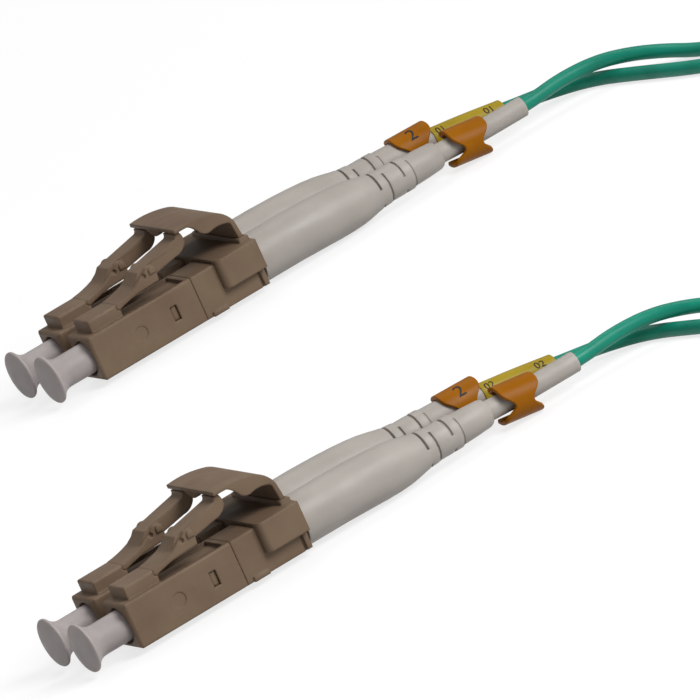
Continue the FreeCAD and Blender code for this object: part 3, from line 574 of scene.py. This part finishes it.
@dataclass
class Trunk:
    """The duplex cord between the splitters, with its put-away coil.

    The bends before and after the coil are measured along x from the coil's first and last point,
    and along y from its middle.
    """

    bench: Bench
    radius: float = 1.0
    coil_radius: float = 24.0
    pitch: float = 2.5
    turns_in: float = 1.0
    turns_out: float = 1.5
    reversal: float = 0.5
    turn_points: int = 16
    tie_wall: float = 0.4
    tie_room: float = 0.1
    lead_in: float = 8.0
    bend_in: tuple[float, float] = (-4.5, 20.0)
    run_in: float = 10.0
    run_out: float = -9.0
    bend_out: tuple[float, float] = (-0.5, -17.0)
    way_round: tuple[Point, ...] = ((21.5, -26.0, 1.4), (13.5, -33.5, 1.1), (3.5, -37.5, 1.1))
    lead_out: float = 7.0
    length: float = 531.0

    def coil_point(self, turns: float) -> Vector:
        """Point on the coil's centre line.

        Args:
            turns: Turns made so far. The radius shrinks, turns round and grows again one layer up.

        Returns:
            The point, from the coil's middle on the table.
        """
        inner = self.coil_radius - self.pitch * self.turns_in
        low = self.radius + self.tie_wall + self.tie_room
        if turns <= self.turns_in:
            radius, climb = self.coil_radius - self.pitch * turns, 0.0
        elif turns <= self.turns_in + self.reversal:
            share = (turns - self.turns_in) / self.reversal
            radius = inner - self.pitch * self.reversal / math.pi * math.sin(math.pi * share)
            climb = 0.5 - 0.5 * math.cos(math.pi * share)
        else:
            radius, climb = inner + self.pitch * (turns - self.turns_in - self.reversal), 1.0
        angle = -TWO_PI * turns
        return Vector((radius * math.cos(angle), radius * math.sin(angle), low + self.pitch * climb))

    def lead(self, end: str, reach: float) -> list[Point]:
        """Straight way out of a splitter.

        Args:
            end: The splitter's end of the cord.
            reach: How far it goes.

        Returns:
            Its two control points, in millimetres.
        """
        layout = self.bench.layout
        places = [layout.splitter(end, layout.splitter_length + past) for past in (0.0, reach)]
        return [(x, y, layout.splitter_height / 2) for x, y, _ in places]

    def points(self) -> list[Point]:
        """Control points from the first splitter through the coil to the second one.

        Returns:
            The points in millimetres.
        """
        turns = self.turns_in + self.reversal + self.turns_out
        coil = [self.coil_point(k / self.turn_points) for k in range(round(turns * self.turn_points) + 1)]
        first, last = coil[0], coil[-1]
        leaving, arriving = self.lead("a", self.lead_in), self.lead("b", self.lead_out)
        height = leaving[0][2]
        around = [(first.x + self.bend_in[0], self.bend_in[1], (height + first.z) / 2),
                  (first.x, self.run_in, first.z), *coil, (last.x, self.run_out, last.z),
                  (last.x + self.bend_out[0], self.bend_out[1], (last.z + height) / 2), *self.way_round]
        middle_x, middle_y = self.bench.layout.coil_centre()
        return leaving + [(middle_x + x, middle_y + y, z) for x, y, z in around] + arriving[::-1]

    def build(self) -> None:
        points = self.points()
        curve = line_curve("trunk_jacket", points, self.radius)
        nodes = ("trunk_a", "cord_coil", "trunk_b")
        trunk = self.bench.finish("trunk_jacket", curve, "cord_set", Slot.JACKET, nodes)


def lathe(profile: Outline, steps: int, closed: bool = False) -> Shape:
    """Spin an outline about the plug axis.

    Args:
        profile: Distances along the axis and radii, in order along the outline.
        steps: Faces round the axis.
        closed: True where the last point joins the first, as on a tube.

    Returns:
        A closed shape whose faces point outwards.
    """
    shape = bmesh.new()
    verts = [shape.verts.new((x, 0.0, r)) for x, r in profile]
    pairs = list(zip(verts, verts[1:])) + ([(verts[-1], verts[0])] if closed else [])
    edges = [shape.edges.new(pair) for pair in pairs]
    bmesh.ops.spin(shape, geom=verts + edges, cent=(0, 0, 0), axis=(1, 0, 0), angle=TWO_PI,
                   steps=steps, use_merge=True)
    bmesh.ops.remove_doubles(shape, verts=shape.verts[:], dist=SAME_PLACE)
    bmesh.ops.recalc_face_normals(shape, faces=shape.faces[:])
    return shape


def thicken(shape: Shape, wall: float) -> None:
    """Give a sheet that lies round the plug axis its thickness.

    Args:
        shape: The sheet.
        wall: How thick it gets, inwards, or outwards where it is below zero.
    """
    bmesh.ops.recalc_face_normals(shape, faces=shape.faces[:])
    outwards = sum(f.normal.dot(f.calc_center_median() * Vector((0, 1, 1))) for f in shape.faces)
    if outwards < 0:
        bmesh.ops.reverse_faces(shape, faces=shape.faces[:])
    bmesh.ops.solidify(shape, geom=shape.faces[:], thickness=wall)


def along_line(stations: list[Point], x: float) -> tuple[float, float]:
    """Sideways and upward shift of a gently bent middle line, even through its stations.

    Args:
        stations: Distances along the plug axis, in order, each with the shift there.
        x: Where the shift is wanted.

    Returns:
        The shift in y and z.
    """
    x = min(max(x, stations[0][0]), stations[-1][0])
    piece = sum(1 for s in stations[1:-1] if x > s[0])
    slopes = []
    for k in (piece, piece + 1):
        before, after = stations[max(k - 1, 0)], stations[min(k + 1, len(stations) - 1)]
        slopes.append([(after[c] - before[c]) / (after[0] - before[0]) for c in (1, 2)])
    first, second = stations[piece], stations[piece + 1]
    run = second[0] - first[0]
    t = (x - first[0]) / run
    keep, rise = 2 * t ** 3 - 3 * t ** 2 + 1, t ** 3 - 2 * t ** 2 + t
    reach, fall = 3 * t ** 2 - 2 * t ** 3, t ** 3 - t ** 2
    aside, up = (keep * first[c] + rise * run * slopes[0][c - 1]
                 + reach * second[c] + fall * run * slopes[1][c - 1] for c in (1, 2))
    return aside, up


def lean(shape: Shape, stations: list[Point]) -> None:
    """Shift a straight shape onto a gently bent middle line.

    Args:
        shape: The shape on the plug axis.
        stations: The line's stations.
    """
    for vert in shape.verts:
        aside, up = along_line(stations, vert.co.x)
        vert.co += Vector((0.0, aside, up))


@dataclass
class Boots:
    """Slotted strain-relief boots: full barrel, ogive, two slotted rings and a thin tail.

    The slots come in pairs, one open at top and bottom and one open at the two sides. Their
    reaches are in degrees from the top, or from the bottom for bottom_reach.
    """

    bench: Bench
    outline: Outline = field(default_factory=lambda: [
        (24.3, 1.02), (24.3, 1.7), (19.6, 1.7), (19.6, 2.5), (24.0, 2.5), (27.0, 2.5), (28.7, 2.48),
        (30.2, 2.42), (31.4, 2.31), (32.3, 2.16), (33.2, 1.97), (33.8, 1.86), (34.05, 1.82),
        (34.85, 1.77), (35.1, 1.69), (35.9, 1.69), (36.6, 1.69), (36.85, 1.69),
        (37.65, 1.68), (37.9, 1.56), (39.6, 1.5), (41.05, 1.4), (41.4, 1.25), (41.4, 1.02)])
    steps: int = 96
    edge: float = 0.05
    edge_steps: int = 3
    slot_places: tuple[tuple[float, bool], ...] = (
        (33.8, True), (34.85, False), (36.6, True), (37.65, False))
    slot_width: float = 0.25
    slot_floor: float = 1.45
    top_reach: float = 82.0
    bottom_reach: float = 45.0
    side_reach: tuple[float, float] = (29.0, 151.0)
    leans: dict[int, list[Point]] = field(default_factory=lambda: {
        NEAR: [(25.0, 0.0, 0.0), (33.5, 0.0, -0.33), (41.4, 0.0, -0.4)],
        FAR: [(25.0, 0.0, 0.0), (33.5, -0.25, -0.3), (41.4, -0.35, -0.33)]})

    def in_slot(self, middle: Vector) -> bool:
        """Tell if a face lies in one of the slots.

        Args:
            middle: The face's middle.

        Returns:
            True for a face of the outside that is cut away.
        """
        if math.hypot(middle.y, middle.z) < self.slot_floor:
            return False
        angle = abs(math.degrees(math.atan2(middle.y, middle.z)))
        for start, upright in self.slot_places:
            if start < middle.x < start + self.slot_width:
                if upright:
                    return angle < self.top_reach or angle > 180 - self.bottom_reach
                return self.side_reach[0] < angle < self.side_reach[1]
        return False

    def cut_slots(self, shape: Shape) -> None:
        """Sink the slots' faces to the slots' floor.

        Args:
            shape: The straight boot.
        """
        picked = [face for face in shape.faces if self.in_slot(face.calc_center_median())]
        sunk = bmesh.ops.extrude_face_region(shape, geom=picked)
        bmesh.ops.delete(shape, geom=picked, context="FACES")
        for vert in (g for g in sunk["geom"] if isinstance(g, bmesh.types.BMVert)):
            reach = math.hypot(vert.co.y, vert.co.z)
            vert.co.y *= self.slot_floor / reach
            vert.co.z *= self.slot_floor / reach

    def build(self) -> None:
        """Make the four boots."""
        for plug in PLUGS:
            shape = lathe(self.outline, self.steps, closed=True)
            self.cut_slots(shape)
            lean(shape, self.leans[plug.row])
            piece = self.bench.place(shape, f"boot_shell_{plug}", plug, "cord_set", Slot.BOOT,
                                     (f"boot_{plug}",))
            self.bench.softener.apply(piece, self.edge, self.edge_steps)


@dataclass
class GuideTubes:
    """Thin white tubes that lead the legs out of the boots, and the yellow labels on the far ones."""

    bench: Bench
    start: float = 36.0
    radius: float = 1.0
    bore: float = 0.72
    edge: float = 0.06
    spacing: float = 0.45
    steps: int = 48
    label_start: float = 44.0
    label_wall: float = 0.1
    label_edge: float = 0.03
    middles: dict[int, list[Point]] = field(default_factory=lambda: {
        NEAR: [(38.0, 0.0, -0.38), (41.4, 0.0, -0.4), (45.2, 0.0, -0.56)],
        FAR: [(38.0, -0.33, -0.33), (41.4, -0.35, -0.33), (46.6, -0.66, -0.82)]})

    def stations(self, row: int) -> list[Point]:
        """Stations of a row's bent middle line, up to the tube's open end."""
        return [*self.middles[row], self.bench.layout.tube_tips[row][-1]]

    def bent(self, row: int, start: float, inner: float, outer: float) -> Shape:
        """Tube along its bent middle, up to the open end.

        Args:
            row: The plug's row.
            start: Where it begins.
            inner: Inside radius.
            outer: Outside radius.

        Returns:
            The tube on its plug's own axis.
        """
        end = self.bench.layout.tube_reach(row)
        count = int((end - start) / self.spacing)
        places = [start + (end - start) * k / count for k in range(count + 1)]
        outline = [(x, outer) for x in places] + [(x, inner) for x in reversed(places)]
        shape = lathe(outline, self.steps, closed=True)
        lean(shape, self.stations(row))
        return shape

    def build(self) -> None:
        """Make the tubes and the labels."""
        bench = self.bench
        for end, pair in ENDS.items():
            for plug in pair:
                shape = self.bent(plug.row, self.start, self.bore, self.radius)
                piece = bench.place(shape, f"guide_tube_{plug}", plug, "cord_set", Slot.BOOT,
                                    (f"leg_sleeve_{plug}",))
                bench.softener.apply(piece, self.edge)
            shape = self.bent(FAR, self.label_start, self.radius, self.radius + self.label_wall)
            piece = bench.place(shape, f"label_wrap_{end}", Plug(end, FAR), "cord_set", Slot.LABEL,
                                (f"wrap_label_{end}",))
            bench.softener.apply(piece, self.label_edge)


@dataclass
class Markers:
    """Orange snap-on cable markers with saddle-shaped ends and a slit low on the far side.

    Saddle is how far the ends are cut back at the sides, and lobe_power how narrow that leaves
    the lobes at top and bottom. The turns are in degrees.
    """

    bench: Bench
    radius: float = 1.88
    wall: float = 0.42
    length: float = 4.2
    edge: float = 0.19
    edge_steps: int = 5
    saddle: float = 1.1
    lobe_power: float = 3.0
    slit: float = 0.9
    slit_turn: float = 35.0
    strips: tuple[int, int] = (14, 56)
    middles: dict[int, Point] = field(default_factory=lambda: {
        NEAR: (44.65, 0.0, -0.75), FAR: (41.85, -0.3, -0.33)})
    tilts: dict[int, float] = field(default_factory=lambda: {NEAR: 7.5, FAR: 1.5})
    rolls: dict[int, float] = field(default_factory=lambda: {NEAR: 6.0, FAR: 0.0})

    def turn(self, row: int) -> Matrix:
        """Place and turn of a marker on its plug axis.

        Args:
            row: The plug's row.

        Returns:
            The matrix, in millimetres.
        """
        tilt = Matrix.Rotation(math.radians(self.tilts[row]), 4, "Y")
        roll = Matrix.Rotation(math.radians(self.rolls[row]), 4, "X")
        return Matrix.Translation(self.middles[row]) @ tilt @ roll

    def band(self) -> Shape:
        """Bent strip with cut-back sides and a thick wall.

        Returns:
            The marker on its own axis.
        """
        shape = bmesh.new()
        along, around = self.strips
        bmesh.ops.create_grid(shape, x_segments=along, y_segments=around, size=1.0)
        half_turn = math.pi - math.asin(self.slit / 2 / self.radius)
        for vert in shape.verts:
            angle = vert.co.y * half_turn - math.radians(self.slit_turn)
            height = math.cos(angle)
            cut = (0.5 + 0.5 * math.cos(math.pi * abs(height))) ** (self.lobe_power / 2)
            reach = self.length / 2 - self.saddle * cut
            vert.co = Vector((vert.co.x * reach, self.radius * math.sin(angle), self.radius * height))
        thicken(shape, self.wall)
        return shape

    def build(self) -> None:
        """Make the four markers."""
        for plug in PLUGS:
            shape = self.band()
            bmesh.ops.transform(shape, matrix=self.turn(plug.row), verts=shape.verts[:])
            piece = self.bench.place(shape, f"marker_band_{plug}", plug, f"marker_{plug}", Slot.MARKER,
                                     (f"marker_clip_{plug}",))
            self.bench.softener.apply(piece, self.edge, self.edge_steps)


@dataclass
class Digits:
    """Plain printed numbers: one on each far marker, two along each yellow label."""

    bench: Bench
    tubes: GuideTubes
    markers: Markers
    ink: float = 0.03
    lift: float = 0.005
    cut_every: float = 0.12
    marker_number: str = "2"
    marker_height: float = 1.35
    marker_angle: float = 38.0
    label_numbers: dict[str, str] = field(default_factory=lambda: {"a": "01", "b": "02"})
    label_height: float = 0.72
    label_angle: float = 48.0
    label_places: tuple[float, float] = (44.9, 50.0)

    def flat(self, text: str, height: float) -> Shape:
        """Filled figures round the origin, cut into strips so that they can bend.

        Args:
            text: The figures.
            height: Their height in millimetres.

        Returns:
            The flat shape.
        """
        letters = bpy.data.curves.new("digits", "FONT")
        letters.body = text
        letters.align_x, letters.align_y = "CENTER", "CENTER"
        letters.resolution_u = 4
        writer = bpy.data.objects.new("digits", letters)
        mesh = bpy.data.meshes.new_from_object(writer)
        shape = bmesh.new()
        shape.from_mesh(mesh)
        bpy.data.objects.remove(writer)
        bpy.data.curves.remove(letters)
        bpy.data.meshes.remove(mesh)
        bmesh.ops.remove_doubles(shape, verts=shape.verts[:], dist=SAME_PLACE)
        tall = [vert.co.y for vert in shape.verts]
        size = height / (max(tall) - min(tall))
        bmesh.ops.scale(shape, vec=(size, size, size), verts=shape.verts[:])
        cuts = int(height / self.cut_every)
        for k in range(1, cuts):
            level = height * (k / cuts - 0.5)
            bmesh.ops.bisect_plane(shape, geom=shape.verts[:] + shape.edges[:] + shape.faces[:],
                                   plane_co=(0, level, 0), plane_no=(0, 1, 0))
        return shape

    def wrapped(self, text: str, height: float, radius: float, angle: float, x: float) -> Shape:
        """Figures laid round a cylinder on the plug axis, with the thickness of their ink.

        Args:
            text: The figures.
            height: Their height in millimetres.
            radius: Radius of what they are printed on.
            angle: Degrees from the top towards the near side.
            x: Their middle along the axis.

        Returns:
            The closed shape.
        """
        shape = self.flat(text, height)
        reach = radius + self.lift
        for vert in shape.verts:
            turn = math.radians(angle) - vert.co.y / reach
            vert.co = Vector((x + vert.co.x, -reach * math.sin(turn), reach * math.cos(turn)))
        thicken(shape, -self.ink)
        return shape

    def build(self) -> None:
        """Print the numbers."""
        label_radius = self.tubes.radius + self.tubes.label_wall
        for end in ENDS:
            plug = Plug(end, FAR)
            shape = self.wrapped(self.marker_number, self.marker_height, self.markers.radius,
                                 self.marker_angle, 0.0)
            bmesh.ops.transform(shape, matrix=self.markers.turn(FAR), verts=shape.verts[:])
            self.bench.place(shape, f"marker_number_{end}", plug, f"marker_{plug}", Slot.TIE)
            for count, place in enumerate(self.label_places, 1):
                shape = self.wrapped(self.label_numbers[end], self.label_height, label_radius,
                                     self.label_angle, place)
                lean(shape, self.tubes.stations(FAR))
                self.bench.place(shape, f"label_number_{end}_{count}", plug, "cord_set", Slot.TIE)


@dataclass
class DustCaps:
    """Dust caps: slightly domed head, a trumpet flare, the barrel and its blind bore."""

    bench: Bench
    front: float = -4.4
    head: float = 2.45
    dome: tuple[float, float] = (0.05, 0.04)
    rounding: float = 0.12
    rim: float = 0.3
    rim_taper: float = 0.02
    flare_gap: float = 0.06
    flare_end: float = -2.6
    flare_power: float = 2.4
    flare_steps: int = 9
    barrel: float = 1.55
    insert: float = 2.6
    chamfer: float = 0.2
    bore: float = 0.6745
    bore_floor: float = -2.5
    steps: int = 72
    edge: float = 0.04

    def outline(self) -> Outline:
        """Outline from the middle of the head round the outside to the bottom of the bore.

        Returns:
            Distances along the axis and radii.
        """
        middle, halfway = self.dome
        points = [(self.front - middle, 0.0), (self.front - halfway, self.head / 2),
                  (self.front, self.head - self.rounding), (self.front + self.rounding, self.head),
                  (self.front + self.rim, self.head - self.rim_taper)]
        start = self.front + self.rim + self.flare_gap
        for k in range(self.flare_steps + 1):
            share = k / self.flare_steps
            swell = (1 - share) ** self.flare_power
            points.append((start + (self.flare_end - start) * share,
                           self.barrel + (self.head - self.rounding - self.barrel) * swell))
        points += [(self.insert - self.chamfer, self.barrel), (self.insert, self.barrel - self.chamfer)]
        return points + [(self.insert, self.bore), (self.bore_floor, self.bore), (self.bore_floor, 0.0)]

    def build(self) -> None:
        """Make the four caps."""
        for plug in PLUGS:
            shape = lathe(self.outline(), self.steps)
            piece = self.bench.place(shape, f"cap_shell_{plug}", plug, f"cap_{plug}", Slot.CAP,
                                     (f"dust_cap_{plug}",))
            self.bench.softener.apply(piece, self.edge)


@dataclass
class CarriedOver:
    """The frame's own nodes that stay: their finishes, softened edges and smooth round faces."""

    bench: Bench
    weld: float = 0.002
    flat_within: float = 0.5
    edge: float = 0.05
    by_prefix: dict[str, Slot] = field(default_factory=lambda: {
        "housing": Slot.HOUSING, "latch": Slot.HOUSING, "rear_body": Slot.HOUSING,
        "duplex_clip": Slot.HOUSING, "trigger": Slot.HOUSING, "ferrule": Slot.CERAMIC,
        "ferrule_flange": Slot.PLATED, "ferrule_spring": Slot.SPRING, "crimp_sleeve": Slot.PLATED,
        "splitter": Slot.SPLITTER, "cord_tie": Slot.TIE,
    })

    def slot_of(self, node: str) -> Slot:
        """Find a node's slot by the longest prefix that fits its name."""
        fitting = [p for p in self.by_prefix if node.startswith(p)]
        return self.by_prefix[max(fitting, key=len)]

    def build(self) -> None:
        """Give every shown node its finish and its modifiers."""
        for node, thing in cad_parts.items():
            if thing.hide_render:
                continue
            material = self.bench.finishes[self.slot_of(node)]
            if not thing.material_slots:
                thing.data.materials.append(material)
            for place in thing.material_slots:
                place.material = material
            weld = thing.modifiers.new("weld", "WELD")
            weld.merge_threshold = self.weld * MM
            flat = thing.modifiers.new("flat", "DECIMATE")
            flat.decimate_type = "DISSOLVE"
            flat.angle_limit = math.radians(self.flat_within)
            self.bench.softener.apply(thing, self.edge)
            LOG.info("node %s dressed", node)


@dataclass
class Studio:
    """White table and surroundings, soft lamps and the camera of the photograph.

    Right and up give the pixels that a millimetre along each axis moves a point in the picture,
    and origin_pixel is where the near housing front of end a lies in it. Each lamp has its place
    and width in metres and its power in watts.
    """

    layout: Layout
    lens: float = 1200.0
    sensor: float = 36.0
    picture: float = 700.0
    right: Point = (8.45518803, -4.82230673, -4.20018651)
    up: Point = (5.04753208, 0.75710089, 9.29169693)
    origin_pixel: tuple[float, float] = (86.0, 358.6)
    clip: tuple[float, float] = (0.2, 3.0)
    table_half: float = 1.5
    table_grey: float = 0.55
    table_white: float = 1.05
    white_share: float = 0.72
    sky: float = 0.3
    lamps: dict[str, tuple[Point, float, float]] = field(default_factory=lambda: {
        "key": ((0.3, -0.5, 0.45), 0.35, 4.2), "top": ((0.1, 0.3, 0.7), 0.4, 1.2)})

    def camera(self) -> None:
        """Place the long lens at the photograph's angle."""
        across = Vector(self.right)
        scale = across.length
        across.normalize()
        upward = Vector(self.up)
        upward = (upward - across * upward.dot(across)).normalized()
        back = across.cross(upward)
        middle = self.picture / 2
        origin = self.layout.axis(Plug("a", NEAR))
        target = (origin + across * ((middle - self.origin_pixel[0]) / scale)
                  + upward * ((self.origin_pixel[1] - middle) / scale)) * MM
        data = bpy.data.cameras.new("camera")
        data.lens = self.lens
        data.sensor_width = self.sensor
        camera = bpy.data.objects.new("camera", data)
        bpy.context.scene.collection.objects.link(camera)
        distance = self.lens / self.sensor * self.picture / scale * MM
        turn = Matrix((across, upward, back)).transposed().to_4x4()
        camera.matrix_world = Matrix.Translation(target + back * distance) @ turn
        data.clip_start, data.clip_end = (distance * share for share in self.clip)
        bpy.context.scene.camera = camera

    def table(self) -> None:
        """White table that keeps a faint shadow."""
        graph = Graph("table_white")
        graph.tree.nodes.remove(graph.shader)
        seen = graph.node("ShaderNodeLightPath", {}).outputs
        plain = graph.node("ShaderNodeBsdfDiffuse", {"Color": (*[self.table_grey] * 3, 1.0)})
        pale = graph.node("ShaderNodeBsdfDiffuse", {"Color": WHITE})
        white = graph.node("ShaderNodeEmission", {"Color": WHITE, "Strength": self.table_white})
        shown = graph.node("ShaderNodeMixShader", {
            0: self.white_share, 1: pale.outputs[0], 2: white.outputs[0]})
        direct = seen["Is Camera Ray"]
        for way in ("Is Glossy Ray", "Is Transmission Ray"):
            either = graph.node("ShaderNodeMath", {0: direct, 1: seen[way]}, operation="MAXIMUM")
            direct = either.outputs[0]
        mixed = graph.node("ShaderNodeMixShader", {0: direct, 1: plain.outputs[0], 2: shown.outputs[0]})
        graph.feed(graph.tree.nodes["Material Output"].inputs[0], mixed.outputs[0])
        sheet = bmesh.new()
        bmesh.ops.create_grid(sheet, x_segments=1, y_segments=1, size=self.table_half)
        mesh = bpy.data.meshes.new("table")
        sheet.to_mesh(mesh)
        sheet.free()
        mesh.materials.append(graph.material)
        table = bpy.data.objects.new("table", mesh)
        bpy.context.scene.collection.objects.link(table)

    def world(self) -> None:
        """Even pale surroundings, white where the camera looks."""
        world = bpy.data.worlds.new("surroundings")
        bpy.context.scene.world = world
        world.use_nodes = True
        tree = world.node_tree
        lit, white = tree.nodes["Background"], tree.nodes.new("ShaderNodeBackground")
        for background, strength in ((lit, self.sky), (white, 1.0)):
            background.inputs[0].default_value = WHITE
            background.inputs[1].default_value = strength
        seen = tree.nodes.new("ShaderNodeLightPath")
        mixed = tree.nodes.new("ShaderNodeMixShader")
        tree.links.new(seen.outputs["Is Camera Ray"], mixed.inputs[0])
        tree.links.new(lit.outputs[0], mixed.inputs[1])
        tree.links.new(white.outputs[0], mixed.inputs[2])
        tree.links.new(mixed.outputs[0], tree.nodes["World Output"].inputs[0])

    def lamp(self, name: str, place: Point, size: float, power: float) -> None:
        """Soft square lamp that looks at the object's middle.

        Args:
            name: Its name.
            place: Where it hangs, in metres.
            size: Its width in metres.
            power: Its power in watts.
        """
        data = bpy.data.lights.new(name, "AREA")
        data.size = size
        data.energy = power
        lamp = bpy.data.objects.new(name, data)
        bpy.context.scene.collection.objects.link(lamp)
        lamp.location = place
        lamp.rotation_euler = (-Vector(place)).to_track_quat("-Z", "Y").to_euler()

    def build(self) -> None:
        """Make the whole studio."""
        self.camera()
        self.table()
        self.world()
        for name, (place, size, power) in self.lamps.items():
            self.lamp(name, place, size, power)
        bpy.context.scene.view_settings.view_transform = "Standard"


def main() -> None:
    """Build the studio, the cords and the pieces."""
    logging.basicConfig(level=logging.INFO, format="%(name)s: %(message)s")
    layout = Layout()
    Studio(layout).build()
    finishes = Finishes()
    finishes.build()
    bench = Bench(layout, finishes, EdgeSoftener())
    tubes = GuideTubes(bench)
    markers = Markers(bench)
    assemblies = (Legs(bench), Trunk(bench), Boots(bench), tubes, markers, Digits(bench, tubes, markers),
                  DustCaps(bench), CarriedOver(bench))
    for assembly in assemblies:
        assembly.build()
        LOG.info("%s done", type(assembly).__name__)


if __name__ == "__main__":
    main()
